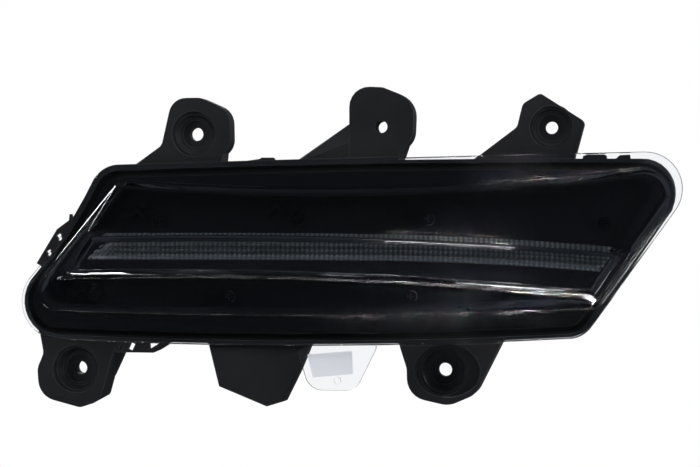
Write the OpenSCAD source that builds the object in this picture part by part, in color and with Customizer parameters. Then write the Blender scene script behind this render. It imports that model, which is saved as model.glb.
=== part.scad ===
// LED indicator lamp for a vehicle bumper: a black moulded housing with five fixing ears,
// a stepped clear lens, a black bezel with a long blade, and the pillow-optic strip that lights up.
// X runs along the lamp, Z is up, and the lamp looks towards -Y.

/* [Lens] */
// Wall thickness of the clear lens
lens_wall = 2.4; // [2:0.1:2.6]
// Height of the stepped dome above the glue plane
dome_height = 12.5; // [10:0.5:15]
// Height of the blade's front face above the glue plane
blade_height = 25.2; // [22:0.2:28]
// How far the lens front falls back at the outer end
sweep_back = 4; // [0:0.5:6]

/* [Housing] */
// Depth of the tub behind the glue plane
tub_depth = 22; // [20:1:26]
// Wall thickness of the tub
tub_wall = 2.2; // [1.8:0.1:2.6]
// Depth of the electronics pod
pod_depth = 37.2; // [34:0.2:40]

/* [Ears] */
// Bore of the two locating ears, top middle and top right
locating_bore = 6.2; // [5.5:0.1:6.5]
// Bore of the three clearance ears
clearance_bore = 6.8; // [6.5:0.1:7.5]
// Thickness of an ear's front plate
ear_plate = 3.5; // [3:0.5:4]

/* [Optics] */
// Pillows along the optic strip
pillow_columns = 104; // [40:2:104]
// Rows of pillows across the strip
pillow_rows = 4; // [3:1:4]
// Height of a pillow above the strip's face
pillow_height = 0.8; // [0.4:0.1:1]
// Number of light sources
led_count = 18; // [8:1:20]

/* [Hidden] */
$fn = 48;

// The origin is the top middle ear's bore, on the ear's front face. Outlines are drawn about the
// lamp's middle, which lies at this place from the bore.
datum = [15.8, 53.2];

// Outlines are four rounded corners [x, z, radius], top left first and then clockwise,
// and each one has the outward bulge of its top, right, bottom and left side.
rim_corners = [[-127.8, 34.3, 15], [180.9, 40.6, 18], [115.8, -51.2, 14], [-188.6, -55, 19.5]];
rim_bulge = [0.3, 0, 3.3, -2];
edge_corners = [[-127.2, 33.4, 14.2], [172, 36.6, 15], [115.4, -50.5, 13.4], [-187, -54.2, 18.7]];
edge_bulge = [1.6, 0, 3.3, -2];
dome_corners = [[-116.6, 26.2, 8], [170.6, 32, 13], [122.3, -36, 6], [-172.2, -39.8, 11]];
dome_bulge = [-6.5, 0, 2.8, 0];
foot_corners = [[-129.5, 2, 3], [140.5, -5.6, 2], [123.4, -31, 2], [-150.6, -23, 2.5]];
foot_bulge = [3.6, 0.2, -4.6, 0.2];
front_corners = [[-127.5, -1.2, 2], [135.8, -8.3, 1.5], [122, -29.6, 1.2], [-139.8, -20.9, 1.2]];
front_bulge = [3.6, 0.2, -3.4, 0.2];

least_radius = 0.4;
// Steps of an outline's corners, long sides and short sides; the lens has finer ones
ring_steps = [10, 16, 4];
lens_steps = [15, 24, 6];

// Levels along Y, from the glue plane
rim_back = -1.2;
rim_front = -3.4;
tongue_back = 3;
wall_front = -0.7;
lip_front = -0.9;
channel_floor = 4.2;
flange_back = 6.5;
lip_wall = 1.6;
tongue_inset = 2.6;
channel_inset = 6;
back_wall = 2.4;
bezel_flange_front = -1.8;
trough_front = 3.2;
trough_back = 5;
face_front = -16.5;
face_back = -14.7;
strip_front = -17;
strip_back = -14;
tray_play = 0.02;
tray_inset = 0.5;
tray_wall = 1.2;
board_front = 0.8;
board_back = 2.4;
hat_back = 11;
hat_sheet = 2;
hat_flange_top = 5;
hat_flange_bottom = -22;

// The light strip is level up to here, and bends down towards the outer end
bend_start = 10;
bend_rate = 0.00038;
strip_top = -2.9;
strip_bottom = -13;
strip_left = [-121, -132.5];
strip_right = [133.4, 124.6];
// An end of the strip is slanted, so it moves this much further for an inset of 1
end_slant = 1.5;
board_left = strip_left + [2, 3];
board_right = strip_right + [-4, -2];
strip_play = 0.2;

// Screws of the bezel, in the troughs
bezel_screw_places = [[-99, 8.5], [-26.5, 9], [39.7, 8.2], [126, 6], [-133.5, -31], [-62, -32], [31, -31]];
screw_shank = 1.2;
clip_places = [[-110, 12], [-37, 14], [31, 13], [-142, -32], [-72, -32], [22, -32]];
spreader_screw_places = [[-100, 1], [0, 1], [100, -2.2], [-60, -18], [60, -19]];
pod = [[-22, -30], [76, 20]];
pod_outer = [pod[0] - [tub_wall, tub_wall], pod[1] + [tub_wall, tub_wall]];
cover_screw_inset = 3.4;
cover_screw_places = [for (x = [pod[0][0] + cover_screw_inset, 36, pod[1][0] - cover_screw_inset])
    for (z = [pod[0][1] + cover_screw_inset, pod[1][1] - cover_screw_inset]) [x, z]];
board_post_places = [for (x = [-12, 44]) for (z = [-20, 12]) [x, z]];
gasket = 0.8;
cover_front = pod_depth + gasket;
cover_plate = 2.5;
driver_board_y = 28;
driver_board_thick = 1.6;
link_place = [6, -8.8];
socket_place = [60, -6];
socket_outer = [22, 18];
socket_wall = 2;
seal_front = pod_depth - 0.2;
socket_floor = 40;
socket_back = 54;
pin_pitch = 5;
pin_radius = 0.8;
fins_left = -13;
fin_pitch = 5.2;
fin_height = 9;
socket_flange = [2.4, 2.4];
vent_places = [[-112, -22], [120, 4]];
vent_top = 31;
vent_membrane = 0.4;

// Helpers that work on outlines
function flat(lists) = [for (l = lists) for (p = l) p];
function place(c) = [c[0], c[1]];
function unit(v) = v / norm(v);
function inward(d) = [d[1], -d[0]];
function drop(x) = bend_rate * pow(max(0, x - bend_start), 2);
function sweep(x) = sweep_back * pow(max(0, x) / 160, 2);

// Corners of a clockwise outline, all moved inwards by the same distance
function inset(o, d) = let (n = len(o)) [for (i = [0:n - 1]) let (
    p = place(o[i]),
    u = unit(p - place(o[(i + n - 1) % n])),
    v = unit(place(o[(i + 1) % n]) - p),
    m = (inward(u) + inward(v)) / (1 + inward(u) * inward(v)),
    growth = cross(u, v) > 0 ? d : -d)
    [p[0] + d * m[0], p[1] + d * m[1], o[i][2] == 0 ? 0 : max(least_radius, o[i][2] + growth)]];

// Points of one rounded corner between the corners before and after it
function corner_arc(a, c, b, steps) = let (
    p = place(c),
    u = unit(place(a) - p),
    v = unit(place(b) - p),
    half = acos(u * v) / 2,
    reach = c[2] / tan(half),
    middle = p + unit(u + v) * c[2] / sin(half),
    from = p + u * reach - middle,
    to = p + v * reach - middle,
    turn = 180 - 2 * half)
    [for (k = [0:steps]) let (a1 = turn * k / steps)
        middle + (from * sin(turn - a1) + to * sin(a1)) / sin(turn)];

// Points between the ends of two arcs, bulged outwards
function side_points(a, b, bulge, steps) = [for (k = [1:steps - 1]) let (t = k / steps)
    a + (b - a) * t - inward(unit(b - a)) * bulge * 4 * t * (1 - t)];

// A closed ring of points for a four-cornered outline
function ring(o, bulge, steps = ring_steps) = let (
    arcs = [for (i = [0:3]) corner_arc(o[(i + 3) % 4], o[i], o[(i + 1) % 4], steps[0])])
    flat([for (i = [0:3]) concat(arcs[i],
        side_points(arcs[i][steps[0]], arcs[(i + 1) % 4][0], bulge[i], steps[1 + i % 2]))]);

// Any outline of rounded corners; a corner of radius 0 stays sharp
function rounded(c, steps = 6) = let (n = len(c))
    flat([for (i = [0:n - 1]) c[i][2] == 0 ? [place(c[i])]
        : corner_arc(c[(i + n - 1) % n], c[i], c[(i + 1) % n], steps)]);

// A band that follows the light strip, from its left ends to its right ends
function band(left, right, top, bottom, steps = 24) = concat(
    [for (k = [0:steps]) let (x = left[0] + (right[0] - left[0]) * k / steps) [x, top - drop(x)]],
    [for (k = [steps:-1:0]) let (x = left[1] + (right[1] - left[1]) * k / steps) [x, bottom - drop(x)]]);

// The strip's own outline, made smaller all round
function strip_band(d) = band(strip_left + [d, d] * end_slant, strip_right - [d, d] * end_slant,
    strip_top - d, strip_bottom + d);

function led_x(i) = -116 + i * 236 / (led_count - 1);
function strip_middle(x) = (strip_top + strip_bottom) / 2 - drop(x);

// Helpers that make solids
module placed() {
    translate([-datum[0], 0, -datum[1]]) children();
}

// Extrude a drawing made in X and Z from one level of Y to another
module slab(front, back) {
    translate([0, back, 0]) rotate([90, 0, 0]) linear_extrude(back - front) children();
}

module rod(p, radius, front, back) {
    translate([p[0], back, p[1]]) rotate([90, 0, 0]) cylinder(r = radius, h = back - front);
}

module cone(p, r_front, r_back, front, back) {
    translate([p[0], back, p[1]]) rotate([90, 0, 0]) cylinder(r1 = r_back, r2 = r_front, h = back - front);
}

module block(low, high, front, back) {
    translate([low[0], front, low[1]]) cube([high[0] - low[0], back - front, high[1] - low[1]]);
}

module strip_area(d) {
    polygon(strip_band(d));
}

module edge_area(d) {
    polygon(ring(inset(edge_corners, d), edge_bulge));
}

module dome_area(d) {
    polygon(ring(inset(dome_corners, d), dome_bulge));
}

module foot_area(d) {
    polygon(ring(inset(foot_corners, d), foot_bulge));
}

// Everything between two swept fronts, seen from above
module swept(front, back) {
    translate([0, 0, -80]) linear_extrude(160) polygon(concat(
        [for (k = [0:24]) let (x = -170 + k * 14) [x, front + sweep(x)]],
        [for (k = [24:-1:0]) let (x = -170 + k * 14) [x, back + sweep(x)]]));
}

// Two crossed bars on a line along Y: the recess of a screw head, or the ribs of a clip tower
module cross(p, y, size, angles = [0, 90]) {
    for (a = angles) translate([p[0], y, p[1]]) rotate([0, a, 0]) cube(size, center = true);
}

// Pan-head screw; its head ends at the level head_end, and its tip may lie before or behind that
module screw(p, head_end, seat, tip, head_radius) {
    difference() {
        union() {
            rod(p, head_radius, min(head_end, seat), max(head_end, seat));
            rod(p, screw_shank, min(seat, tip), max(seat, tip));
        }
        cross(p, head_end, [head_radius * 1.2, 1.6, 0.5]);
    }
}

// Housing
// Outlines of the ears' front plates, clockwise, each from the body out and back to it
left_ear = [[-122, 28, 0], [-98, 44.8, 5], [-92.4, 68.9, 9], [-77.5, 68.9, 9], [-62.3, 62.2, 10],
    [-61.9, 44, 9], [-78, 28, 0]];
middle_ear = [[-0.4, 28, 0], [-0.4, 73.8, 10], [16.5, 72.9, 6], [32.4, 66.5, 12], [31.6, 47.5, 10],
    [22, 36, 1], [22, 28, 0]];
right_ear = [[50.3, 28, 0], [83.2, 52.6, 4], [86, 64, 4], [94.6, 69.2, 2.6], [116.4, 55, 2.6],
    [109.2, 28, 0]];
low_left_ear = [[-119.7, -46, 0], [-130.3, -84.2, 3], [-141, -90, 5], [-163.5, -84.4, 11],
    [-164.6, -70, 9], [-161.2, -62, 6], [-164.2, -46, 0]];
low_right_ear = [[79.8, -46, 0], [63, -79.5, 9], [50, -85.2, 12], [29.2, -80.8, 11], [28.9, -67, 6],
    [22.2, -46, 0]];

// Webs beside three of the ears, at the front and where they reach back
left_web_face = [[-77, 28, 0], [-77, 46, 0], [-65, 46, 0], [-68.5, 28, 0]];
left_web_rear = [[-77, 28, 0], [-77, 50, 0], [-64, 50, 0], [-66.4, 28, 0]];
middle_web_face = [[-27, 28, 0], [-27, 36, 0], [1.4, 46.2, 0], [3, 28, 0]];
middle_web_rear = [[-30, 28, 0], [-29.3, 36.2, 0], [2, 57.5, 0], [4, 28, 0]];
middle_right_web_face = [[15, 28, 0], [15, 40, 0], [24.6, 41.2, 0], [21.4, 36, 0], [21.4, 28, 0]];
middle_right_web_rear = [[14, 28, 0], [14, 50, 0], [30.8, 50, 0], [25.4, 34, 0], [24, 28, 0]];
low_left_web_face = [[-120, -46, 0], [-120.4, -55, 0], [-129, -73, 0], [-134, -74, 0], [-134, -46, 0]];
low_left_web_rear = [[-117, -46, 0], [-118, -55, 0], [-127, -74, 0], [-135, -79, 0], [-135, -46, 0]];

left_ear_back = 12;
middle_ear_back = 12;
right_ear_back = 12;
low_left_ear_back = 18;
low_right_ear_back = 16;
ear_skirt = 2.5;
mouth_half = [16.4, 13.2];
ear_rib = 2;
wedge_front = 0.4;
// The rim's flange stands out this far round the left end and along the top to the middle ear
flange_proud = 0.6;
flange_end = [25, -16];

left_bore = [-81, 50.6];
middle_bore = datum;
right_bore = [99.9, 52.4];
low_left_bore = [-143.8, -70];
low_right_bore = [46.5, -68.4];

// One ear: front plate, a skirt behind it that is open at the back, the boss of its bore,
// and two ribs from the boss to the body
module ear(outline, bore, front, back, boss, body_z) {
    slab(front, back) difference() {
        polygon(rounded(outline));
        polygon(rounded(inset(outline, ear_skirt)));
    }
    slab(front, front + ear_plate) polygon(rounded(outline));
    rod(bore, boss, front + ear_plate - 1, back);
    for (side = [-0.7, 0.7]) {
        x = bore[0] + side * boss;
        low = [x - ear_rib / 2, min(bore[1], body_z)];
        high = [x + ear_rib / 2, max(bore[1], body_z)];
        block(low, high, front + ear_plate - 1, back - 1);
    }
}

// A web between an ear and the body that leans back from the ear's face, hollow from behind
module web(face, rear, front, middle, back) {
    difference() {
        union() {
            hull() {
                slab(front, front + 0.6) polygon(rounded(face));
                slab(middle - 1, middle) polygon(rounded(rear));
            }
            slab(middle - 0.5, back) polygon(rounded(rear));
        }
        slab(front + ear_plate, back + 1) polygon(rounded(inset(face, ear_skirt)));
    }
}

module ears() {
    ear(left_ear, left_bore, 2, left_ear_back, 12.5, 20);
    web(left_web_face, left_web_rear, 2.4, 8, left_ear_back - 0.6);
    ear(middle_ear, middle_bore, 0, middle_ear_back, 7, 20);
    web(middle_web_face, middle_web_rear, 0.4, 8, middle_ear_back - 0.6);
    web(middle_right_web_face, middle_right_web_rear, 0.7, 9, middle_ear_back - 0.9);
    ear(right_ear, right_bore, 2, right_ear_back, 11.5, 20);
    ear(low_left_ear, low_left_bore, 2, low_left_ear_back, 13, -40);
    web(low_left_web_face, low_left_web_rear, 2.4, 9, low_left_ear_back - 0.6);
    ear(low_right_ear, low_right_bore, -2, low_right_ear_back, 14.6, -40);
    slab(0, 8) intersection() {
        polygon(rounded(low_right_ear));
        mouth_area(2.4);
    }
}

// Oval mouth of the low right ear's cup
module mouth_area(d) {
    translate(low_right_bore + [2.6, 0.6])
        polygon([for (a = [0:7.5:352.5]) [(mouth_half[0] + d) * cos(a), (mouth_half[1] + d) * sin(a)]]);
}

// Stepped cup in front of a bore: a wide mouth, a cone and a flat floor
module cup(p, mouth, floor_radius, front, floor_y) {
    rod(p, mouth, front - 1, front + 2);
    cone(p, mouth - 1.4, floor_radius + 1.5, front + 2, floor_y - 1.6);
    rod(p, floor_radius, floor_y - 1.6, floor_y);
}

module ear_holes() {
    rod(left_bore, clearance_bore / 2, 0, 20);
    cup(left_bore, 11.5, 7, 2, 8);
    rod(middle_bore, locating_bore / 2, -5, 20);
    rod(right_bore, locating_bore / 2, 0, 20);
    cup(right_bore, 10.5, 6.6, 2, 8);
    rod(low_left_bore, clearance_bore / 2, 0, 20);
    cup(low_left_bore, 12.3, 7.4, 2, 10);
    rod(low_right_bore, clearance_bore / 2, 0, 20);
    cup(low_right_bore, 12.2, 7.3, 4, 12);
    slab(-4, 4) mouth_area(0);
}

// The wedge-shaped locating tab under the body: its front face falls back to the body above and to
// its right edge beside, so the three faces meet in one peak
module wedge_tab() {
    back = [[-20, -54], [-26, -68.2], [-34.4, -85], [-44, -88], [-68.4, -78.3], [-74, -58], [-75, -54]];
    face = [[-38.6, -67], [-43.2, -86.6], [-67.5, -77.6], [-71.4, -61]];
    difference() {
        hull() {
            slab(6, 12) polygon(back);
            slab(wedge_front, wedge_front + 1) polygon(face);
        }
        hull() {
            slab(9, 13) polygon([for (c = inset([for (p = back) [p[0], p[1], 1]], 2.2)) place(c)]);
            slab(wedge_front + 3, wedge_front + 3.5)
                polygon([for (c = inset([for (p = face) [p[0], p[1], 1]], 2.2)) place(c)]);
        }
    }
}

// Clip flanges at the left and under the body, the clip on the top edge, and two small spurs
module clip_flanges() {
    slab(0, 2.6) polygon([[-141, 8.5], [-145.6, 7.4], [-153.2, 2], [-164.2, -15.6], [-161, -17.4],
        [-158, -24], [-140, -12]]);
    slab(0, 2.6) polygon([[-124, -54], [-122.3, -61], [-102, -61], [-98.2, -59.4], [-93.5, -56.5],
        [-90, -53]]);
    slab(0, 4) polygon([[-54.5, 34], [-53.5, 36.6], [-46, 37.6], [-45.4, 38.2], [-39.5, 38.2],
        [-38.6, 36.8], [-33, 36.2], [-32, 34]]);
    slab(0, 3) polygon([[-146.4, 9.8], [-145.8, 9.8], [-144, 5], [-147, 5]]);
    slab(lip_front, 4) polygon([[121, -44], [130.9, -30.2], [126.6, -32.6], [118, -42]]);
}

// Openings in the clip flanges that the bumper's hooks snap into
module clip_windows() {
    slab(-1, 4) {
        for (w = [[-151.6, -2.2], [-157, -10.4]]) translate(w) rotate(35) square([2.6, 4], center = true);
        translate([-119, -58.6]) rotate(-25) square([1.2, 2.6], center = true);
        translate([-113.4, -58]) rotate(-25) square([2.4, 4], center = true);
        polygon([[-104, -55.8], [-98.6, -56], [-103.8, -59.2]]);
    }
}

// Thin flange that frames the clear rim from behind, and two snaps that show through it at the right
module rim_flange() {
    slab(lip_front, lip_front + 2.6) intersection() {
        polygon(ring(inset(rim_corners, -flange_proud), rim_bulge));
        translate([-200, flange_end[1]]) square([200 + flange_end[0], 80]);
    }
    slab(lip_front, 2.4) polygon([[115.6, 35], [115.6, 37.8], [117.7, 38.6], [126, 38.6], [127.2, 37.8],
        [127.2, 35]]);
    slab(lip_front, 2.4) polygon([[129.8, 35], [133.5, 38.2], [138.3, 38.4], [139, 35]]);
}

module glue_channel() {
    slab(channel_floor, flange_back) difference() {
        edge_area(0);
        edge_area(channel_inset + 1);
    }
    slab(lip_front, channel_floor) difference() {
        edge_area(0);
        edge_area(lip_wall);
    }
}

module tub() {
    slab(wall_front, tub_depth) difference() {
        edge_area(channel_inset);
        edge_area(channel_inset + tub_wall);
    }
    slab(tub_depth, tub_depth + back_wall) edge_area(channel_inset);
}

// The deeper pod that holds the driver circuit, with the posts that its board rests on
module pod_walls() {
    floor_y = tub_depth + back_wall;
    difference() {
        block(pod_outer[0], pod_outer[1], tub_depth, pod_depth);
        block(pod[0], pod[1], floor_y, pod_depth + 1);
    }
    for (p = cover_screw_places) rod(p, 3.6, floor_y - 1, pod_depth);
    for (p = board_post_places) rod(p, 2, floor_y - 1, driver_board_y);
}

module inner_bosses() {
    for (p = bezel_screw_places) rod(p, 3.4, trough_back, tub_depth);
    for (p = spreader_screw_places) rod(p, 3.2, hat_back, tub_depth);
}

// Stiffening ribs on the tub's back, as high as its outline allows
module back_ribs() {
    intersection() {
        slab(tub_depth, 28) edge_area(channel_inset + 2);
        union() {
            for (x = [-136, -88, -64, -40, 96]) block([x, -60], [x + 1.8, 40], tub_depth, 28);
            block([-150, -12], [pod[0][0], -10.2], tub_depth, 26.5);
            block([pod[1][0], -10], [140, -8.2], tub_depth, 26.5);
        }
    }
}

// What stands outside the body, cut where the lens rim, the glue channel and the tub are
module outer_features() {
    difference() {
        union() {
            ears();
            wedge_tab();
            clip_flanges();
            rim_flange();
        }
        clip_windows();
        ear_holes();
        slab(-5, lip_front) polygon(ring(inset(rim_corners, -flange_proud - 0.1), rim_bulge));
        slab(-5, channel_floor) edge_area(lip_wall / 2);
        slab(0, 30) edge_area(channel_inset + tub_wall / 2);
    }
}

module rear_housing() {
    color([0.07, 0.07, 0.075]) placed() difference() {
        union() {
            glue_channel();
            tub();
            pod_walls();
            inner_bosses();
            back_ribs();
            for (p = vent_places) rod(p, 5, tub_depth, vent_top);
            outer_features();
        }
        for (p = bezel_screw_places) rod(p, screw_shank, 0, 16);
        for (p = spreader_screw_places) rod(p, screw_shank, 0, 18);
        for (p = cover_screw_places) rod(p, screw_shank, 31, pod_depth + 1);
        for (p = vent_places) {
            rod(p, 2.2, tub_depth - 1, vent_top);
            rod(p, 3, vent_top - vent_membrane, vent_top + 1);
        }
        block(link_place - [8, 4.4], link_place + [8, 4.4], tub_depth - 1, tub_depth + back_wall + 1);
    }
}

// Lens
function at_level(points, y, share) = [for (p = points) [p[0], y + share * sweep(p[0]), p[1]]];
function rim_ring(d) = ring(inset(rim_corners, d), rim_bulge, lens_steps);
function weld_ring(d) = ring(inset(edge_corners, tongue_inset + d), edge_bulge, lens_steps);
function dome_ring(d) = ring(inset(dome_corners, d), dome_bulge, lens_steps);
function foot_ring(d) = ring(inset(foot_corners, d), foot_bulge, lens_steps);
function front_ring(d) = ring(inset(front_corners, d), front_bulge, lens_steps);
function between(a, b, share) = [for (i = [0:len(a) - 1]) a[i] + (b[i] - a[i]) * share];

// Inset and level of each step round a convex edge, from its flank to its front
function edge_steps(level, radius) = [for (a = [0:30:90]) [radius * (1 - cos(a)), level - radius * sin(a)]];

foot_level = -18;
blade_foot = at_level(foot_ring(0), foot_level, 0.8);
blade_edge = at_level(front_ring(0), -blade_height, 1);
outer_rings = concat(
    [at_level(weld_ring(0), tongue_back, 0),
    at_level(weld_ring(0), rim_back, 0),
    at_level(rim_ring(0), rim_back, 0)],
    [for (e = edge_steps(rim_front, 0.8)) at_level(rim_ring(e[0]), e[1], 0)],
    [at_level(dome_ring(-1.6), rim_front - 1.2, 0),
    at_level(dome_ring(-0.9), rim_front - 2, 0)],
    [for (e = edge_steps(-dome_height, 0.8)) at_level(dome_ring(e[0]), e[1], 0.5)],
    [at_level(foot_ring(-0.5), foot_level + 0.1, 0.8),
    between(blade_foot, blade_edge, 0.08)],
    [for (e = edge_steps(-blade_height, 1.1)) at_level(front_ring(e[0]), e[1], 1)]);
inner_rings = [
    at_level(front_ring(4), -blade_height + 1.3, 1),
    at_level(front_ring(2.4), -blade_height + lens_wall - 0.1, 1),
    at_level(foot_ring(0.8), foot_level + lens_wall - 0.2, 0.8),
    at_level(dome_ring(2.6), -dome_height + 1.6, 0.5),
    at_level(dome_ring(0.4), -2.6, 0),
    at_level(weld_ring(lens_wall), -2, 0),
    at_level(weld_ring(lens_wall), tongue_back, 0)];

ring_size = len(outer_rings[0]);
chain = 2 * (lens_steps[0] + 1) + lens_steps[1] - 1;

// Quads between two neighbouring rings, each as two triangles
function wall_faces(from, to) = flat([for (i = [0:ring_size - 1]) let (
    j = (i + 1) % ring_size, a = from * ring_size, b = to * ring_size)
    [[a + i, b + j, b + i], [a + i, a + j, b + j]]]);

// A cap across a long ring: its top side is joined to its bottom side
function cap_faces(r, turned) = let (
    s = r * ring_size,
    low = chain + lens_steps[2] - 1,
    across = flat([for (k = [0:chain - 2]) let (
        a = k, b = k + 1, c = low + chain - 1 - k, d = low + chain - 2 - k)
        [[a, b, d], [a, d, c]]]),
    right = [for (k = [chain - 1:low - 1]) if (k > chain - 1) [chain - 1, k, k + 1]],
    left = [for (k = [low + chain - 1:ring_size - 2]) [0, k, k + 1]],
    order = turned ? [2, 1, 0] : [0, 1, 2])
    [for (f = concat(across, right, left)) [for (k = order) s + f[k]]];

module lens_body() {
    rings = concat(outer_rings, inner_rings);
    last = len(rings) - 1;
    top = len(outer_rings) - 1;
    walls = flat([for (r = [0:last - 1]) if (r != top) wall_faces(r, r + 1)]);
    polyhedron(points = flat(rings), convexity = 8,
        faces = concat(walls, wall_faces(last, 0), cap_faces(top, false), cap_faces(top + 1, true)));
}

// Round tab under the lens that carries the label
tab_corners = [[13.6, -54, 0.1], [13.6, -57.4, 1], [3.2, -78.4, 8], [-20.3, -78.4, 9], [-26.4, -57.4, 3],
    [-36, -54.5, 0.1]];
tab_front = -3.2;
tab_back = -1.2;

module outer_lens() {
    color([0.75, 0.8, 0.85, 0.35]) placed() union() {
        lens_body();
        slab(tab_front, tab_back) difference() {
            polygon(rounded(tab_corners));
            polygon(ring(inset(rim_corners, 0.9), rim_bulge));
        }
        rod([-5.7, -73.4], 1.7, tab_front - 0.8, tab_front + 0.5);
    }
}

module label() {
    color([0.93, 0.93, 0.94]) placed() slab(tab_back, tab_back + 0.2)
        polygon(rounded([[-21.4, -60.6, 0.5], [1.4, -58.6, 0.5], [1.8, -70.2, 0.5], [-18.6, -72.2, 0.5]], 3));
}

module lens_seal() {
    color([0.12, 0.12, 0.12]) placed() difference() {
        slab(2.2, channel_floor) difference() {
            edge_area(lip_wall);
            edge_area(channel_inset);
        }
        slab(1, tongue_back) difference() {
            polygon(weld_ring(0));
            polygon(weld_ring(lens_wall));
        }
    }
}

// Bezel and optics
blade_inset = 2.2;
blade_wall = 1.4;
bezel_wall = 1.6;
tub_clearance = 0.4;
lining_inset = 2.8;
lining_wall = 1.2;
lining_front = -9.6;

// The bezel's floor, where the dome is wide enough and the tub lets it in
module trough_area(d) {
    intersection() {
        dome_area(1.4 + d);
        edge_area(channel_inset + tub_wall + tub_clearance + d);
    }
}

// The blade's walls where they go back into the tub
module blade_base(d) {
    intersection() {
        foot_area(blade_inset + d);
        edge_area(channel_inset + tub_wall + tub_clearance + d);
    }
}

// Wall that lines the dome's flank inside, as far as the tub lets it down to the trough
module flank_lining() {
    intersection() {
        slab(lining_front, trough_back) intersection() {
            difference() {
                dome_area(lining_inset);
                dome_area(lining_inset + lining_wall);
            }
            edge_area(channel_inset + tub_wall + tub_clearance);
        }
        swept(lining_front, 40);
    }
}

// A snap tower seen through the lens: two posts joined by crossed ribs
module clip_tower(p) {
    for (s = [-4, 4]) rod([p[0] + s, p[1] + s * 0.6], 1.3, -3, trough_front);
    cross(p, 0.6, [11, 5.2, 1], [35, -40]);
}

module bezel() {
    color([0.045, 0.045, 0.055]) placed() difference() {
        union() {
            slab(bezel_flange_front, wall_front) difference() {
                edge_area(channel_inset - tub_clearance);
                trough_area(bezel_wall);
            }
            slab(bezel_flange_front, trough_back) difference() {
                trough_area(0);
                trough_area(bezel_wall);
            }
            slab(trough_front, trough_back) trough_area(0);
            intersection() {
                slab(face_front - 1, bezel_flange_front) foot_area(blade_inset);
                swept(face_front, 30);
            }
            slab(bezel_flange_front, trough_back) blade_base(0);
            flank_lining();
            for (p = clip_places) clip_tower(p);
            for (p = bezel_screw_places) rod(p, 4.2, 1.2, trough_front);
        }
        intersection() {
            slab(face_front - 1, bezel_flange_front) foot_area(blade_inset + blade_wall);
            swept(face_back, 40);
        }
        slab(bezel_flange_front - 1, trough_back + 1) blade_base(blade_wall);
        slab(face_front - 2, trough_back + 1) strip_area(-strip_play);
        for (p = bezel_screw_places) rod(p, 1.6, 0, trough_back + 1);
        for (p = bezel_screw_places) rod(p, 3.1, 0, 2.2);
    }
}

module bezel_screws() {
    color([0.75, 0.76, 0.78]) placed() for (p = bezel_screw_places)
        screw(p, trough_front - 3, trough_front - 1, 15, 2.8);
}

// Place on the strip's face, from its top left corner (0, 0) to its bottom right one (1, 1)
function strip_point(u, v) = let (
    left = strip_left[0] + (strip_left[1] - strip_left[0]) * v,
    right = strip_right[0] + (strip_right[1] - strip_right[0]) * v,
    x = left + (right - left) * u)
    [x, strip_top + (strip_bottom - strip_top) * v - drop(x)];

// Depth of a grid point: none in a pillow's middle, half on the line between two pillows
function pillow_dip(i, j) = let (odd = i % 2 + j % 2) odd == 2 ? 0 : odd == 1 ? 0.55 : 1;

// The strip is a grid of square pillows, each with its highest point in its middle
module optic_strip() {
    columns = 2 * pillow_columns;
    rows = 2 * pillow_rows;
    face_points = [for (i = [0:columns]) for (j = [0:rows]) let (p = strip_point(i / columns, j / rows))
        [p[0], strip_front + sweep(p[0]) + pillow_height * pillow_dip(i, j), p[1]]];
    back_points = [for (i = [0:columns]) for (j = [0, rows]) let (p = strip_point(i / columns, j / rows))
        [p[0], strip_back + sweep(p[0]), p[1]]];
    base = len(face_points);
    w = rows + 1;
    front_faces = flat([for (i = [0:columns - 1]) for (j = [0:rows - 1]) let (a = i * w + j, b = a + w)
        (i + j) % 2 == 0 ? [[a, b, b + 1], [a, b + 1, a + 1]] : [[a, b, a + 1], [a + 1, b, b + 1]]]);
    back_faces = flat([for (i = [0:columns - 1]) let (b = base + 2 * i)
        [[b, b + 3, b + 2], [b, b + 1, b + 3]]]);
    top_faces = flat([for (i = [0:columns - 1]) let (a = i * w, b = base + 2 * i)
        [[a, b, a + w], [b, b + 2, a + w]]]);
    low_faces = flat([for (i = [0:columns - 1]) let (a = i * w + rows, b = base + 2 * i + 1)
        [[a, a + w, b], [b, a + w, b + 2]]]);
    end_left = concat([for (j = [0:rows - 1]) [j, j + 1, base]], [[rows, base + 1, base]]);
    e = columns * w;
    f = base + 2 * columns;
    end_right = concat([for (j = [0:rows - 1]) [e + j + 1, e + j, f]], [[f + 1, e + rows, f]]);
    color([0.62, 0.64, 0.62]) placed() polyhedron(points = concat(face_points, back_points), convexity = 6,
        faces = concat(front_faces, back_faces, top_faces, low_faces, end_left, end_right));
}

// The strip's outline, cut short where the bezel's wall stands at the right end
module tray_area(d) {
    intersection() {
        strip_area(tray_inset + d);
        edge_area(channel_inset + tub_wall + tub_clearance + blade_wall + d);
    }
}

// Box of white walls that keeps the light together behind the strip
module reflector_tray() {
    color([0.9, 0.9, 0.9]) placed() intersection() {
        slab(strip_back - 1, board_front) difference() {
            tray_area(0);
            tray_area(tray_wall);
        }
        swept(strip_back + tray_play, 40);
    }
}

module led_board() {
    color([0.1, 0.32, 0.2]) placed() slab(board_front, board_back) board_area(0);
}

// Outline of the light-source board and of the crown of the sheet behind it
module board_area(d) {
    polygon(band(board_left + [-d, -d], board_right + [d, d], strip_top - 0.2 - d, strip_bottom - 1 + d));
}

// Each light source is a small block with its lens window
module indicator_leds() {
    color([0.95, 0.75, 0.2]) placed() for (i = [0:led_count - 1]) {
        p = [led_x(i), strip_middle(led_x(i))];
        block(p - [1.7, 1.4], p + [1.7, 1.4], board_front - 0.8, board_front);
        rod(p, 1.1, board_front - 1.3, board_front - 0.8);
    }
}

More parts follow.
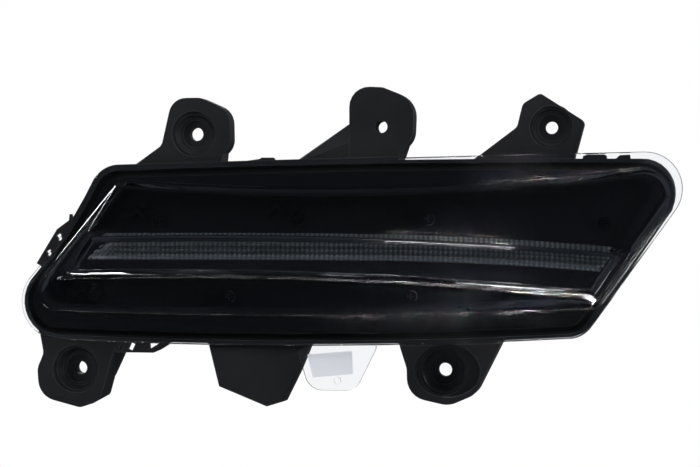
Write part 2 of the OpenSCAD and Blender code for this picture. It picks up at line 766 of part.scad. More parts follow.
// Folded sheet with a top-hat section: the crown carries the board, the flanges are screwed down
module heat_spreader() {
    color([0.72, 0.73, 0.75]) placed() difference() {
        union() {
            slab(board_back, hat_back) board_area(0);
            slab(hat_back - hat_sheet, hat_back)
                polygon(band(board_left, board_right - [4, 8], hat_flange_top, hat_flange_bottom));
        }
        slab(board_back + hat_sheet, hat_back + 1) board_area(hat_sheet);
        block(link_place - [7, 3.4], link_place + [7, 3.4], 0, 20);
        for (p = spreader_screw_places) rod(p, 1.7, 5, 20);
    }
}

module spreader_screws() {
    color([0.75, 0.76, 0.78]) placed() for (p = spreader_screw_places)
        screw(p, hat_back - hat_sheet - 1.6, hat_back - hat_sheet, 17, 2.6);
}

// Electronics
module link_header() {
    color([0.08, 0.08, 0.08]) placed() difference() {
        block(link_place - [6, 2.5], link_place + [6, 2.5], board_back, driver_board_y);
        for (k = [-1.5:1:1.5])
            block(link_place + [k * 2.54 - 0.32, -0.32], link_place + [k * 2.54 + 0.32, 0.32], 0, 30);
    }
}

module link_pins() {
    color([0.85, 0.7, 0.3]) placed() for (k = [-1.5:1:1.5])
        block(link_place + [k * 2.54 - 0.32, -0.32], link_place + [k * 2.54 + 0.32, 0.32],
            board_back, driver_board_y + driver_board_thick + 1.2);
}

module driver_board() {
    color([0.1, 0.32, 0.2]) placed() difference() {
        block(pod[0] + [0.8, 0.8], pod[1] - [0.8, 0.8], driver_board_y, driver_board_y + driver_board_thick);
        for (p = cover_screw_places) rod(p, 4.1, 20, 40);
        for (k = [-1.5:1:1.5])
            block(link_place + [k * 2.54 - 0.32, -0.32], link_place + [k * 2.54 + 0.32, 0.32], 20, 40);
        for (k = [-1:1]) rod(socket_place + [k * pin_pitch, 0], pin_radius, 20, 40);
    }
}

module driver_chips() {
    top = driver_board_y + driver_board_thick;
    color([0.1, 0.1, 0.11]) placed() {
        block([22, -2], [28, 4], top, top + 1.2);
        block([30, -18], [36, -14], top, top + 1.6);
        for (x = [-10, -4]) block([x, -20], [x + 3.4, -14], top, top + 1.4);
        for (x = [14:4:26]) block([x, -24], [x + 2, -22.8], top, top + 0.6);
    }
}

module driver_coil() {
    top = driver_board_y + driver_board_thick;
    color([0.25, 0.25, 0.27]) placed() block([-12, 0], [-2, 10], top, top + 4.5);
}

module driver_capacitors() {
    top = driver_board_y + driver_board_thick;
    color([0.7, 0.71, 0.73]) placed() for (x = [16, 26]) {
        block([x - 3.3, 6.7], [x + 3.3, 13.3], top, top + 0.8);
        rod([x, 10], 3.1, top + 0.8, top + 5.6);
    }
}

// Finned plate that closes the pod; the socket looks out through its window
module driver_cover() {
    half = socket_outer / 2 + [0.3, 0.3];
    color([0.6, 0.61, 0.63]) placed() difference() {
        union() {
            block(pod_outer[0], pod_outer[1], cover_front, cover_front + cover_plate);
            for (k = [0:8]) {
                low = [fins_left + k * fin_pitch, pod[0][1] + 8];
                high = [low[0] + 1.6, pod[1][1] - 8];
                block(low, high, cover_front + cover_plate, cover_front + fin_height);
            }
        }
        for (p = cover_screw_places) rod(p, 1.6, cover_front - 1, cover_front + 5);
        block(socket_place - half, socket_place + half, cover_front - 1, cover_front + 5);
    }
}

module cover_gasket() {
    color([0.2, 0.2, 0.2]) placed() difference() {
        union() {
            difference() {
                block(pod_outer[0], pod_outer[1], pod_depth, cover_front);
                block(pod[0], pod[1], pod_depth - 1, cover_front + 1);
            }
            for (p = cover_screw_places) rod(p, 3.6, pod_depth, cover_front);
        }
        for (p = cover_screw_places) rod(p, 1.6, pod_depth - 1, cover_front + 1);
    }
}

module cover_screws() {
    seat = cover_front + cover_plate;
    color([0.75, 0.76, 0.78]) placed() for (p = cover_screw_places) screw(p, seat + 2, seat, 32, 2.8);
}

// Socket that the loom's plug goes into: it stands on the board and looks out through the cover
module connector_socket() {
    low = socket_place - socket_outer / 2;
    high = socket_place + socket_outer / 2;
    wall = [socket_wall, socket_wall];
    latch = [socket_place[0], high[1]];
    color([0.1, 0.1, 0.11]) placed() difference() {
        union() {
            block(low, high, driver_board_y + driver_board_thick, socket_back);
            block(low - socket_flange, high + socket_flange, seal_front - 2, seal_front);
            block(latch - [3, 0], latch + [3, 1.6], cover_front + cover_plate + 1, socket_back - 3);
        }
        block(low + wall, high - wall, socket_floor, socket_back + 1);
        for (k = [-1:1]) rod(socket_place + [k * pin_pitch, 0], pin_radius, 20, 50);
    }
}

module connector_seal() {
    low = socket_place - socket_outer / 2;
    high = socket_place + socket_outer / 2;
    color([0.7, 0.25, 0.15]) placed() difference() {
        block(low - socket_flange, high + socket_flange, seal_front, cover_front);
        block(low, high, seal_front - 1, cover_front + 1);
    }
}

module terminal_pins() {
    color([0.85, 0.7, 0.3]) placed() for (k = [-1:1])
        rod(socket_place + [k * pin_pitch, 0], pin_radius, driver_board_y - 1, socket_back - 5);
}

module vent_caps() {
    color([0.13, 0.13, 0.13]) placed() for (p = vent_places) difference() {
        rod(p, 7.4, vent_top - 4.6, vent_top + 3);
        rod(p, 5, vent_top - 5, vent_top);
        rod(p, 2, vent_top - 1, vent_top + 1.4);
        cross(p, vent_top + 1, [16, 1.4, 2]);
    }
}

module vent_membranes() {
    color([0.93, 0.93, 0.93]) placed() for (p = vent_places) rod(p, 3, vent_top - vent_membrane, vent_top);
}

rear_housing();
outer_lens();
label();
lens_seal();
bezel();
bezel_screws();
optic_strip();
reflector_tray();
led_board();
indicator_leds();
heat_spreader();
spreader_screws();
link_header();
link_pins();
driver_board();
driver_chips();
driver_coil();
driver_capacitors();
driver_cover();
cover_gasket();
cover_screws();
connector_socket();
connector_seal();
terminal_pins();
vent_caps();
vent_membranes();
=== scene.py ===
"""Looks of the LED indicator lamp: materials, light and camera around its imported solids."""
import math

import bpy
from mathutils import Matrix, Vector

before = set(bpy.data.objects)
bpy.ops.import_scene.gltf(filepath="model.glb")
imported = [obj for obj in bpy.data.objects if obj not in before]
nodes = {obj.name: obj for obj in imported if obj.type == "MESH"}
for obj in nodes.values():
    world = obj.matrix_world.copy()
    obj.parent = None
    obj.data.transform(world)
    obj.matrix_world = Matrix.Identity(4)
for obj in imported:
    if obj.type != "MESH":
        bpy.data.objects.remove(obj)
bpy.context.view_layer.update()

# The lamp's middle, where the camera looks, measured from the top middle bore
DATUM_X = 0.0158
DATUM_Z = 0.0532
MIDDLE = Vector((-DATUM_X, 0.0, -DATUM_Z))

# The photo's view, in degrees, metres and millimetres
CAMERA_AZIMUTH = 10.0
CAMERA_ELEVATION = 0.5
CAMERA_DISTANCE = 0.9
CAMERA_LENS = 92.57
CAMERA_SENSOR = 36.0

# The optic strip's pillows, its left end with a painted highlight, and how it bends down towards the outer
# end
STRIP_TOP = -DATUM_Z - 0.0029
STRIP_LEFT = -DATUM_X - 0.128
LIT_END_LENGTH = 0.016
PILLOW_WIDTH = 0.00245
ROW_HEIGHT = 0.00252
BEND_START = 0.01 - DATUM_X
BEND_RATE = 0.38

# Edges sharper than this stay sharp, with other angles for some nodes
SMOOTH_ANGLE = 30.0
SMOOTH_ANGLES = {"outer_lens": 50.0, "optic_strip": 5.0}
WELD_DISTANCE = 2e-6

# Moulded grain, lighter edges (partly wear, partly a painted edge highlight) and the rounding of glossy
# edges, in metres
GRAIN_SIZE = 0.0006
EDGE_WIDTH = 0.0005
GLOSS_EDGE = 0.0004
BEVEL_SAMPLES = 6

# Height of the surface bumps, in metres
SKIN_DEPTH = 0.00003
LENS_DEPTH = 0.000002
GLOSS_DEPTH = 0.00002
METAL_DEPTH = 0.00001
FIBRE_DEPTH = 0.00002

# Repeats per metre of the surface noises
FLOW_SCALE = 22.0
DUST_SCALE = 900.0
WAVE_SCALE = 14.0
SMEAR_SCALE = 60.0
TRACK_SCALE = 220.0
FLECK_SCALE = 700.0
FIBRE_SCALE = 1400.0
TONE_SCALE = 90.0

# Share of the lamps' light that one clear wall lets through, and the light loss in metal grain
CLEAR_SHARE = 0.9
GRAIN_SHADE = 0.82
METAL_VARIATION = 0.08

# Lamps that light the faces: name, place, size and power
LAMP_AIM = (0.0, 0.0, -0.05)
LAMPS = (
    ("top_lamp", (0.1, -0.5, 1.1), (0.5, 0.25), 9.0),
    ("left_lamp", (-1.1, -0.7, 0.35), (0.3, 0.5), 6.5),
    ("right_lamp", (1.1, -0.5, 0.3), (0.3, 0.5), 8.0),
    ("low_lamp", (-0.2, -0.9, -0.9), (0.6, 0.2), 1.0),
    ("front_lamp", (0.3, -1.3, 0.5), (0.6, 0.6), 4.5),
    ("back_lamp", (-0.5, 1.2, 0.6), (0.6, 0.4), 14.0),
    ("back_fill", (0.9, 1.0, 0.2), (0.4, 0.4), 7.0),
)

# Cards that show only in gloss: name, direction, size, brightness and the nodes that show them
CARD_DISTANCE = 1.2
LENS = ("outer_lens",)
MOULDINGS = ("rear_housing", "driver_cover", "connector_socket", "vent_caps")
TRIM = ("bezel", "bezel_screws")
CARDS = (
    ("left_card", (-0.86, -0.1, 0.46), (0.5, 0.2), 25.0, LENS),
    ("low_left_card", (-0.8, -0.1, -0.6), (0.8, 0.2), 5.0, LENS),
    ("low_card", (-0.1, 0.25, -1.0), (1.0, 0.1), 10.0, LENS),
    ("right_card", (0.83, 0.2, -0.55), (0.5, 0.1), 6.0, LENS),
    ("ridge_card", (0.25, 0.1, -1.0), (0.25, 0.06), 14.0, LENS),
    ("low_spot", (-0.071, 0.0, -1.2), (0.035, 0.3), 1200.0, LENS),
    ("top_spot", (-0.02, 0.0, 1.2), (0.035, 0.2), 350.0, LENS),
    ("top_sheen", (0.1, -0.45, 1.0), (0.5, 0.25), 6.0, MOULDINGS),
    ("left_sheen", (-1.0, -0.65, 0.35), (0.25, 0.4), 6.0, MOULDINGS),
    ("right_sheen", (1.0, -0.45, 0.3), (0.25, 0.4), 8.0, MOULDINGS),
    ("back_sheen", (-0.3, 1.0, 0.8), (0.5, 0.3), 8.0, MOULDINGS),
    ("side_sheen", (0.9, 0.7, 0.3), (0.3, 0.5), 5.0, MOULDINGS),
    ("trim_glint", (-0.6, -0.3, 0.9), (0.15, 0.15), 60.0, TRIM),
)

# The plain floor under the lamp, and the dim studio that its gloss shows
FLOOR_PLACE = (-DATUM_X, 0.6, -0.176)
FLOOR_SIZE = (3.0, 2.4)
FLOOR_TONE = 0.86
STUDIO_TONE = (0.020, 0.023, 0.028)


# Camera
def add_camera():
    """Stands where the photo was taken from."""
    azimuth = math.radians(CAMERA_AZIMUTH)
    elevation = math.radians(CAMERA_ELEVATION)
    back = Vector((math.sin(azimuth) * math.cos(elevation),
                   -math.cos(azimuth) * math.cos(elevation), math.sin(elevation)))
    data = bpy.data.cameras.new("camera")
    data.sensor_width = CAMERA_SENSOR
    data.lens = CAMERA_LENS
    data.clip_start = 0.05
    data.clip_end = 20.0
    camera = bpy.data.objects.new("camera", data)
    camera.location = MIDDLE + CAMERA_DISTANCE * back
    camera.rotation_euler = (-back).to_track_quat("-Z", "Y").to_euler()
    bpy.context.scene.collection.objects.link(camera)
    bpy.context.scene.camera = camera


# Node helpers
class Nodes:
    """A node tree that is built by short calls."""

    def __init__(self, tree):
        self.tree = tree

    def add(self, kind, **settings):
        node = self.tree.nodes.new("ShaderNode" + kind)
        for name, value in settings.items():
            setattr(node, name, value)
        return node

    def join(self, a, b):
        self.tree.links.new(a, b)

    def math(self, operation, a, b=0.0, clamp=False):
        node = self.add("Math", operation=operation, use_clamp=clamp)
        for socket, value in zip(node.inputs, (a, b)):
            if isinstance(value, (int, float)):
                socket.default_value = value
            else:
                self.join(value, socket)
        return node.outputs[0]

    def noise(self, scale, detail, roughness, vector):
        node = self.add("TexNoise")
        node.inputs["Scale"].default_value = scale
        node.inputs["Detail"].default_value = detail
        node.inputs["Roughness"].default_value = roughness
        self.join(vector, node.inputs["Vector"])
        return node

    def spread(self, value, low, high, to_low, to_high):
        node = self.add("MapRange", clamp=True)
        self.join(value, node.inputs["Value"])
        for name, number in zip(("From Min", "From Max", "To Min", "To Max"), (low, high, to_low, to_high)):
            node.inputs[name].default_value = number
        return node.outputs[0]

    def blend(self, share, a, b):
        node = self.add("Mix", data_type="RGBA")
        for socket, value in ((node.inputs[0], share), (node.inputs[6], a), (node.inputs[7], b)):
            if isinstance(value, (int, float)):
                socket.default_value = value
            elif isinstance(value, tuple):
                socket.default_value = (*value, 1.0)
            else:
                self.join(value, socket)
        return node.outputs[2]

    def group(self, tree, **values):
        node = self.add("Group")
        node.node_tree = tree
        for name, value in values.items():
            socket = node.inputs[name.replace("_", " ").capitalize()]
            socket.default_value = (*value, 1.0) if isinstance(value, tuple) else value
        return node


def new_group(name, inputs, outputs):
    """A shader group with named sockets; kinds are Float, Color or Vector."""
    tree = bpy.data.node_groups.new(name, "ShaderNodeTree")
    for in_out, sockets in (("INPUT", inputs), ("OUTPUT", outputs)):
        for socket_name, kind in sockets:
            tree.interface.new_socket(socket_name, in_out=in_out, socket_type="NodeSocket" + kind)
    n = Nodes(tree)
    return n, n.tree.nodes.new("NodeGroupInput"), n.tree.nodes.new("NodeGroupOutput")


def new_material(name, **values):
    """A material with one Principled shader; values name its sockets."""
    material = bpy.data.materials.new(name)
    material.use_nodes = True
    n = Nodes(material.node_tree)
    shader = material.node_tree.nodes["Principled BSDF"]
    for key, value in values.items():
        socket = shader.inputs[key.replace("_", " ")]
        socket.default_value = (*value, 1.0) if isinstance(value, tuple) else value
    return material, n, shader


# Shared surface effects
def make_moulded_skin():
    """Fine grain of a moulded plastic face, with soft flow marks, dust specks and lighter edges, which are
    partly wear and partly a painted edge highlight.
    """
    inputs = [("Colour", "Color"), ("Edge colour", "Color"), ("Grain size", "Float"),
              ("Roughness", "Float"), ("Edge width", "Float")]
    outputs = [("Colour", "Color"), ("Roughness", "Float"), ("Height", "Float")]
    n, given, result = new_group("moulded_skin", inputs, outputs)
    place = n.add("TexCoord").outputs["Object"]
    scale = n.math("DIVIDE", 1.0, given.outputs["Grain size"])
    grain = n.noise(1.0, 3.0, 0.6, place)
    n.join(scale, grain.inputs["Scale"])
    flow = n.noise(FLOW_SCALE, 3.0, 0.55, place)
    dust = n.noise(DUST_SCALE, 1.0, 0.5, place)
    bevel = n.add("Bevel", samples=BEVEL_SAMPLES)
    n.join(given.outputs["Edge width"], bevel.inputs["Radius"])
    facing = n.add("VectorMath", operation="DOT_PRODUCT")
    n.join(bevel.outputs[0], facing.inputs[0])
    n.join(n.add("NewGeometry").outputs["Normal"], facing.inputs[1])
    # Edges found by the rounded normal take the edge colour: partly wear, partly a painted edge highlight
    edge = n.spread(facing.outputs["Value"], 0.86, 0.995, 1.0, 0.0)
    edge = n.math("MULTIPLY", edge, n.spread(flow.outputs[0], 0.35, 0.65, 0.35, 1.0))
    speck = n.spread(dust.outputs[0], 0.74, 0.8, 0.0, 0.5)
    mark = n.math("MAXIMUM", edge, speck)
    mottled = n.add("HueSaturation")
    n.join(given.outputs["Colour"], mottled.inputs["Color"])
    n.join(n.spread(flow.outputs[0], 0.3, 0.7, 0.82, 1.2), mottled.inputs["Value"])
    n.join(n.blend(mark, mottled.outputs[0], given.outputs["Edge colour"]), result.inputs["Colour"])
    patchy = n.math("ADD", given.outputs["Roughness"], n.spread(flow.outputs[0], 0.3, 0.7, -0.06, 0.06))
    rough = n.math("ADD", patchy, n.math("MULTIPLY", grain.outputs[0], 0.06), clamp=True)
    n.join(rough, result.inputs["Roughness"])
    n.join(grain.outputs[0], result.inputs["Height"])
    return n.tree


def make_polish():
    """Very faint waves and handling marks of a glossy moulded face."""
    inputs = [("Roughness", "Float"), ("Smear", "Float")]
    outputs = [("Roughness", "Float"), ("Height", "Float")]
    n, given, result = new_group("polish", inputs, outputs)
    place = n.add("TexCoord").outputs["Object"]
    wave = n.noise(WAVE_SCALE, 2.0, 0.5, place)
    smear = n.noise(SMEAR_SCALE, 5.0, 0.65, place)
    share = n.spread(smear.outputs[0], 0.5, 0.72, 0.0, 1.0)
    marks = n.math("MULTIPLY", share, given.outputs["Smear"])
    n.join(n.math("ADD", given.outputs["Roughness"], marks), result.inputs["Roughness"])
    n.join(wave.outputs[0], result.inputs["Height"])
    return n.tree


MOULDED_SKIN = make_moulded_skin()
POLISH = make_polish()


def add_bump(n, shader, height, distance):
    """Raises the surface by the height map; distance is its full height."""
    bump = n.add("Bump")
    bump.inputs["Distance"].default_value = distance
    bump.inputs["Strength"].default_value = 1.0
    n.join(height, bump.inputs["Height"])
    n.join(bump.outputs[0], shader.inputs["Normal"])
    return bump


def moulded(name, colour, edge_colour, roughness=0.42):
    """A matte or satin moulded plastic or rubber."""
    material, n, shader = new_material(name)
    skin = n.group(MOULDED_SKIN, colour=colour, edge_colour=edge_colour, grain_size=GRAIN_SIZE,
                   roughness=roughness, edge_width=EDGE_WIDTH)
    n.join(skin.outputs["Colour"], shader.inputs["Base Color"])
    n.join(skin.outputs["Roughness"], shader.inputs["Roughness"])
    add_bump(n, shader, skin.outputs["Height"], SKIN_DEPTH)
    return material


def clear_plastic(name, colour, roughness, smear, ior=1.49):
    """Clear moulding that lets the lamps' light through to what lies behind it."""
    material, n, shader = new_material(name, Base_Color=colour, Transmission_Weight=1.0, IOR=ior)
    polish = n.group(POLISH, roughness=roughness, smear=smear)
    n.join(polish.outputs["Roughness"], shader.inputs["Roughness"])
    add_bump(n, shader, polish.outputs["Height"], LENS_DEPTH)
    clear = n.add("BsdfTransparent")
    clear.inputs["Color"].default_value = (*[CLEAR_SHARE * c for c in colour], 1.0)
    mix = n.add("MixShader")
    n.join(n.add("LightPath").outputs["Is Shadow Ray"], mix.inputs[0])
    n.join(shader.outputs[0], mix.inputs[1])
    n.join(clear.outputs[0], mix.inputs[2])
    n.join(mix.outputs[0], material.node_tree.nodes["Material Output"].inputs["Surface"])
    return material


def pillow_rows_and_lit_end(n):
    """1 on the middles of the strip's pillows, in rows that follow its bend, and on its left end, where a
    highlight is painted.
    """
    place = n.add("SeparateXYZ")
    n.join(n.add("TexCoord").outputs["Object"], place.inputs[0])
    past = n.math("MAXIMUM", n.math("SUBTRACT", place.outputs["X"], BEND_START), 0.0)
    drop = n.math("MULTIPLY", n.math("MULTIPLY", past, past), BEND_RATE)
    across = n.math("MULTIPLY", place.outputs["X"], 2 * math.pi / PILLOW_WIDTH)
    level = n.math("ADD", n.math("SUBTRACT", place.outputs["Z"], STRIP_TOP), drop)
    upward = n.math("MULTIPLY", level, 2 * math.pi / ROW_HEIGHT)
    waves = n.math("ADD", n.math("COSINE", across), n.math("COSINE", upward))
    dots = n.spread(waves, -0.4, 1.2, 0.0, 1.0)
    # Painted highlight: the strip's left end is made lighter, as if more light fell on it
    painted_lit_end = n.spread(place.outputs["X"], STRIP_LEFT, STRIP_LEFT + LIT_END_LENGTH, 1.0, 0.0)
    return n.math("MAXIMUM", dots, painted_lit_end)


def pillow_optic(name):
    """Smoked clear strip whose pillows let most light through at their middles, with a painted highlight on
    its left end.
    """
    joint = (0.3, 0.32, 0.33)
    pillow = (0.95, 0.97, 0.97)
    material = clear_plastic(name, (0.6, 0.62, 0.63), 0.05, 0.1, 1.58)
    n = Nodes(material.node_tree)
    shader = material.node_tree.nodes["Principled BSDF"]
    # The dots carry the painted highlight on the strip's left end too
    dots = pillow_rows_and_lit_end(n)
    n.join(n.blend(dots, joint, pillow), shader.inputs["Base Color"])
    return material


def gloss_black(name):
    """Piano-black moulding behind the lens."""
    material, n, shader = new_material(name, Base_Color=(0.0035, 0.0036, 0.0042), IOR=1.5)
    polish = n.group(POLISH, roughness=0.02, smear=0.05)
    n.join(polish.outputs["Roughness"], shader.inputs["Roughness"])
    bump = add_bump(n, shader, polish.outputs["Height"], GLOSS_DEPTH)
    rounded = n.add("Bevel", samples=BEVEL_SAMPLES)
    rounded.inputs["Radius"].default_value = GLOSS_EDGE
    n.join(rounded.outputs[0], bump.inputs["Normal"])
    return material


def metal(name, colour, roughness, scale):
    """Plated or pressed metal with a fine grain."""
    material, n, shader = new_material(name, Metallic=1.0)
    place = n.add("TexCoord").outputs["Object"]
    grain = n.noise(scale, 4.0, 0.6, place)
    darker = tuple(GRAIN_SHADE * c for c in colour)
    n.join(n.blend(grain.outputs[0], darker, colour), shader.inputs["Base Color"])
    smoothest = roughness - METAL_VARIATION
    roughest = roughness + METAL_VARIATION
    rough = n.spread(grain.outputs[0], 0.3, 0.7, smoothest, roughest)
    n.join(rough, shader.inputs["Roughness"])
    add_bump(n, shader, grain.outputs[0], METAL_DEPTH)
    return material


def board(name, mask, trace):
    """Solder mask over copper tracks."""
    material, n, shader = new_material(name, Roughness=0.35)
    place = n.add("TexCoord").outputs["Object"]
    brick = n.add("TexBrick")
    n.join(place, brick.inputs["Vector"])
    brick.inputs["Scale"].default_value = TRACK_SCALE
    brick.inputs["Mortar Size"].default_value = 0.06
    brick.inputs["Brick Width"].default_value = 2.2
    brick.inputs["Row Height"].default_value = 0.4
    fleck = n.noise(FLECK_SCALE, 2.0, 0.5, place)
    colour = n.blend(brick.outputs["Fac"], mask, trace)
    share = n.math("MULTIPLY", fleck.outputs[0], 0.3)
    darker = tuple(0.5 * c for c in mask)
    n.join(n.blend(share, colour, darker), shader.inputs["Base Color"])
    add_bump(n, shader, brick.outputs["Fac"], SKIN_DEPTH)
    return material


def paper(name):
    """Bare white sticker."""
    material, n, shader = new_material(name, Roughness=0.55)
    place = n.add("TexCoord").outputs["Object"]
    fibre = n.noise(FIBRE_SCALE, 4.0, 0.6, place)
    tone = n.noise(TONE_SCALE, 2.0, 0.5, place)
    share = n.math("MULTIPLY", fibre.outputs[0], tone.outputs[0])
    bright = (0.93, 0.93, 0.92)
    shaded = (0.82, 0.83, 0.85)
    n.join(n.blend(share, bright, shaded), shader.inputs["Base Color"])
    add_bump(n, shader, fibre.outputs[0], FIBRE_DEPTH)
    return material


def make_materials():
    """One material for each node."""
    black = (0.0085, 0.0088, 0.0105)
    # The lighter edge colours are painted edge highlights as well as wear
    edge = (0.045, 0.047, 0.052)
    resin = (0.012, 0.012, 0.013)
    socket = (0.02, 0.021, 0.023)
    socket_edge = (0.06, 0.06, 0.065)
    return {
        "rear_housing": moulded("black_housing", black, edge),
        "outer_lens": clear_plastic("clear_lens", (0.97, 0.98, 1.0), 0.0, 0.006),
        "label": paper("white_sticker"),
        "lens_seal": moulded("butyl_seal", resin, (0.02, 0.02, 0.02), roughness=0.5),
        "bezel": gloss_black("piano_black"),
        "bezel_screws": metal("black_screws", (0.02, 0.02, 0.024), 0.35, 900.0),
        "optic_strip": pillow_optic("pillow_optic"),
        "reflector_tray": moulded("white_tray", (0.6, 0.62, 0.64), (0.5, 0.5, 0.5), roughness=0.4),
        "led_board": board("led_board", (0.6, 0.62, 0.6), (0.5, 0.48, 0.4)),
        "indicator_leds": moulded("led_packages", (0.5, 0.48, 0.42), (0.6, 0.6, 0.55), roughness=0.3),
        "heat_spreader": metal("pressed_aluminium", (0.72, 0.73, 0.75), 0.4, 500.0),
        "spreader_screws": metal("zinc_screws", (0.62, 0.62, 0.6), 0.32, 900.0),
        "link_header": moulded("header_block", (0.7, 0.68, 0.6), (0.8, 0.78, 0.7), roughness=0.45),
        "link_pins": metal("gold_pins", (0.85, 0.65, 0.3), 0.25, 1200.0),
        "driver_board": board("driver_board", (0.02, 0.11, 0.05), (0.05, 0.2, 0.09)),
        "driver_chips": moulded("chip_resin", resin, (0.05, 0.05, 0.05), roughness=0.5),
        "driver_coil": moulded("coil_ferrite", (0.05, 0.048, 0.045), (0.1, 0.1, 0.1), roughness=0.6),
        "driver_capacitors": metal("capacitor_cans", (0.7, 0.71, 0.72), 0.28, 700.0),
        "driver_cover": moulded("black_cover", black, edge, roughness=0.48),
        "cover_gasket": moulded("silicone_gasket", (0.16, 0.165, 0.17), (0.25, 0.25, 0.25), roughness=0.6),
        "cover_screws": metal("cover_screws", (0.55, 0.55, 0.53), 0.34, 900.0),
        "connector_socket": moulded("socket_resin", socket, socket_edge, roughness=0.5),
        "connector_seal": moulded("socket_seal", (0.3, 0.06, 0.03), (0.4, 0.1, 0.05), roughness=0.6),
        "terminal_pins": metal("tinned_pins", (0.75, 0.74, 0.7), 0.22, 1200.0),
        "vent_caps": moulded("vent_rubber", (0.015, 0.015, 0.016), (0.04, 0.04, 0.04), roughness=0.62),
        "vent_membranes": moulded("vent_fabric", (0.7, 0.7, 0.68), (0.8, 0.8, 0.8), roughness=0.7),
    }


def make_smoother():
    """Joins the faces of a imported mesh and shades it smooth, except at edges sharper than the angle."""
    tree = bpy.data.node_groups.new("smooth_faces", "GeometryNodeTree")
    tree.interface.new_socket("Mesh", in_out="INPUT", socket_type="NodeSocketGeometry")
    tree.interface.new_socket("Angle", in_out="INPUT", socket_type="NodeSocketFloat")
    tree.interface.new_socket("Mesh", in_out="OUTPUT", socket_type="NodeSocketGeometry")
    make = tree.nodes.new
    join = tree.links.new
    given = make("NodeGroupInput")
    result = make("NodeGroupOutput")
    weld = make("GeometryNodeMergeByDistance")
    weld.inputs["Distance"].default_value = WELD_DISTANCE
    join(given.outputs[0], weld.inputs[0])
    plain = make("GeometryNodeRemoveAttribute")
    plain.inputs["Name"].default_value = "custom_normal"
    join(weld.outputs[0], plain.inputs[0])
    faces = make("GeometryNodeSetShadeSmooth")
    faces.inputs["Shade Smooth"].default_value = True
    join(plain.outputs[0], faces.inputs[0])
    angle = make("GeometryNodeInputMeshEdgeAngle")
    gentle = make("FunctionNodeCompare")
    gentle.operation = "LESS_EQUAL"
    join(angle.outputs["Unsigned Angle"], gentle.inputs["A"])
    join(given.outputs["Angle"], gentle.inputs["B"])
    edges = make("GeometryNodeSetShadeSmooth")
    edges.domain = "EDGE"
    join(faces.outputs[0], edges.inputs[0])
    join(gentle.outputs["Result"], edges.inputs["Shade Smooth"])
    join(edges.outputs[0], result.inputs[0])
    return tree


def smooth(name, tree, degrees):
    """Shades one node smooth, with its flat faces kept even."""
    change = nodes[name].modifiers.new("smooth_faces", "NODES")
    change.node_group = tree
    change[tree.interface.items_tree["Angle"].identifier] = math.radians(degrees)
    evened = nodes[name].modifiers.new("even_faces", "WEIGHTED_NORMAL")
    evened.mode = "FACE_AREA"
    evened.weight = 100
    evened.keep_sharp = True


def dress_nodes():
    """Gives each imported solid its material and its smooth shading."""
    for name, material in make_materials().items():
        slots = nodes[name].data.materials
        slots.clear()
        slots.append(material)
    smoother = make_smoother()
    for name in nodes:
        smooth(name, smoother, SMOOTH_ANGLES.get(name, SMOOTH_ANGLE))


# Studio
def seen_directly(n, path):
    """1 for what the camera sees straight or through clear plastic, but not by a reflection behind it."""
    unreflected = n.math("LESS_THAN", path.outputs["Glossy Depth"], 0.5)
    through = n.math("MULTIPLY", path.outputs["Is Transmission Ray"], unreflected)
    return n.math("MAXIMUM", path.outputs["Is Camera Ray"], through)


def white_stage(name, place, size):
    """A level pale floor that is pure white wherever it is seen from above, and clear from below."""
    material = bpy.data.materials.new(name)
    material.use_nodes = True
    n = Nodes(material.node_tree)
    shader = material.node_tree.nodes["Principled BSDF"]
    shader.inputs["Base Color"].default_value = (FLOOR_TONE, FLOOR_TONE, FLOOR_TONE, 1.0)
    shader.inputs["Roughness"].default_value = 0.9
    glow = n.add("Emission")
    path = n.add("LightPath")
    seen = n.math("MAXIMUM", seen_directly(n, path), path.outputs["Is Glossy Ray"])
    mix = n.add("MixShader")
    n.join(seen, mix.inputs[0])
    n.join(shader.outputs[0], mix.inputs[1])
    n.join(glow.outputs[0], mix.inputs[2])
    one_sided = n.add("MixShader")
    n.join(n.add("NewGeometry").outputs["Backfacing"], one_sided.inputs[0])
    n.join(mix.outputs[0], one_sided.inputs[1])
    n.join(n.add("BsdfTransparent").outputs[0], one_sided.inputs[2])
    n.join(one_sided.outputs[0], material.node_tree.nodes["Material Output"].inputs["Surface"])
    half_x = size[0] / 2
    half_y = size[1] / 2
    mesh = bpy.data.meshes.new(name)
    corners = [(-half_x, -half_y, 0), (half_x, -half_y, 0), (half_x, half_y, 0), (-half_x, half_y, 0)]
    mesh.from_pydata(corners, [], [(0, 1, 2, 3)])
    mesh.materials.append(material)
    floor = bpy.data.objects.new(name, mesh)
    floor.location = place
    bpy.context.scene.collection.objects.link(floor)
    return floor


def add_lamp(name, place, aim, size, power):
    """An area lamp that lights the faces but isn't seen in their gloss."""
    data = bpy.data.lights.new(name, "AREA")
    data.shape = "RECTANGLE"
    data.size, data.size_y = size
    data.energy = power
    lamp = bpy.data.objects.new(name, data)
    lamp.location = place
    lamp.rotation_euler = (Vector(aim) - Vector(place)).to_track_quat("-Z", "Y").to_euler()
    lamp.visible_glossy = False
    lamp.visible_transmission = False
    bpy.context.scene.collection.objects.link(lamp)
    return lamp


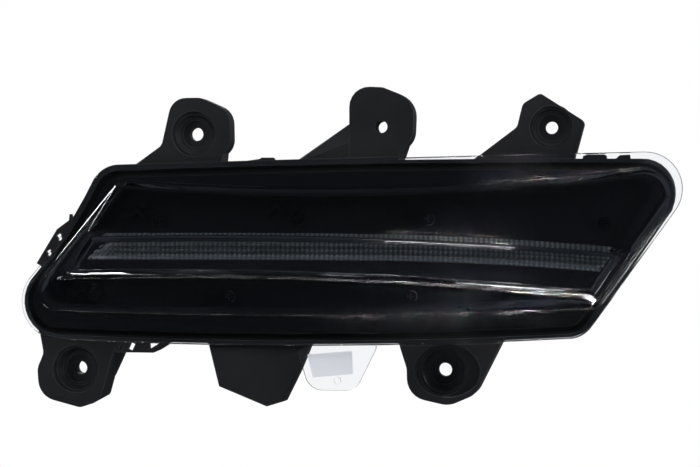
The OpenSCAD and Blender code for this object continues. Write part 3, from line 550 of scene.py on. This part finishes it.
def add_card(name, toward, size, brightness, receivers):
    """A glowing card near the lamp, seen only in the gloss of the named nodes."""
    place = MIDDLE + CARD_DISTANCE * Vector(toward).normalized()
    card = add_lamp(name, place, MIDDLE, size, brightness * math.pi * size[0] * size[1])
    card.visible_glossy = True
    card.visible_diffuse = False
    group = bpy.data.collections.new(name)
    for node in receivers:
        group.objects.link(nodes[node])
    card.light_linking.receiver_collection = group
    return card


def white_surroundings(n, path):
    """1 where the world's white shows: to the camera, and through a clear wall in open directions."""
    toward = n.add("SeparateXYZ")
    n.join(n.add("TexCoord").outputs["Generated"], toward.inputs[0])
    straight = n.spread(n.math("ABSOLUTE", toward.outputs["Y"]), 0.86, 0.93, 0.0, 1.0)
    beside = n.spread(n.math("ABSOLUTE", toward.outputs["X"]), 0.6, 0.8, 0.0, 0.12)
    below = n.spread(toward.outputs["Z"], -0.8, -0.6, 0.12, 0.0)
    glow = n.math("MAXIMUM", straight, n.math("MAXIMUM", beside, below))
    one_wall = n.math("LESS_THAN", path.outputs["Transmission Depth"], 2.5)
    through = n.math("MULTIPLY", n.math("MULTIPLY", seen_directly(n, path), one_wall), glow)
    return n.math("MAXIMUM", path.outputs["Is Camera Ray"], through)


def make_world():
    """A dim studio that is white behind the lamp."""
    world = bpy.data.worlds.new("studio")
    bpy.context.scene.world = world
    world.use_nodes = True
    n = Nodes(world.node_tree)
    plain = world.node_tree.nodes["Background"]
    plain.inputs["Color"].default_value = (*STUDIO_TONE, 1.0)
    white = n.add("Background")
    white.inputs["Color"].default_value = (1.0, 1.0, 1.0, 1.0)
    mix = n.add("MixShader")
    n.join(white_surroundings(n, n.add("LightPath")), mix.inputs[0])
    n.join(plain.outputs[0], mix.inputs[1])
    n.join(white.outputs[0], mix.inputs[2])
    n.join(mix.outputs[0], world.node_tree.nodes["World Output"].inputs["Surface"])


def light_studio():
    """Puts the lamp over its floor, with the lamps and cards round it."""
    make_world()
    floor = white_stage("floor", FLOOR_PLACE, FLOOR_SIZE)
    floor.visible_glossy = False
    floor.visible_transmission = False
    floor.visible_shadow = False
    for name, place, size, power in LAMPS:
        add_lamp(name, place, LAMP_AIM, size, power)
    for name, toward, size, brightness, receivers in CARDS:
        add_card(name, toward, size, brightness, receivers)


bpy.context.scene.view_settings.view_transform = "Standard"
add_camera()
dress_nodes()
light_studio()
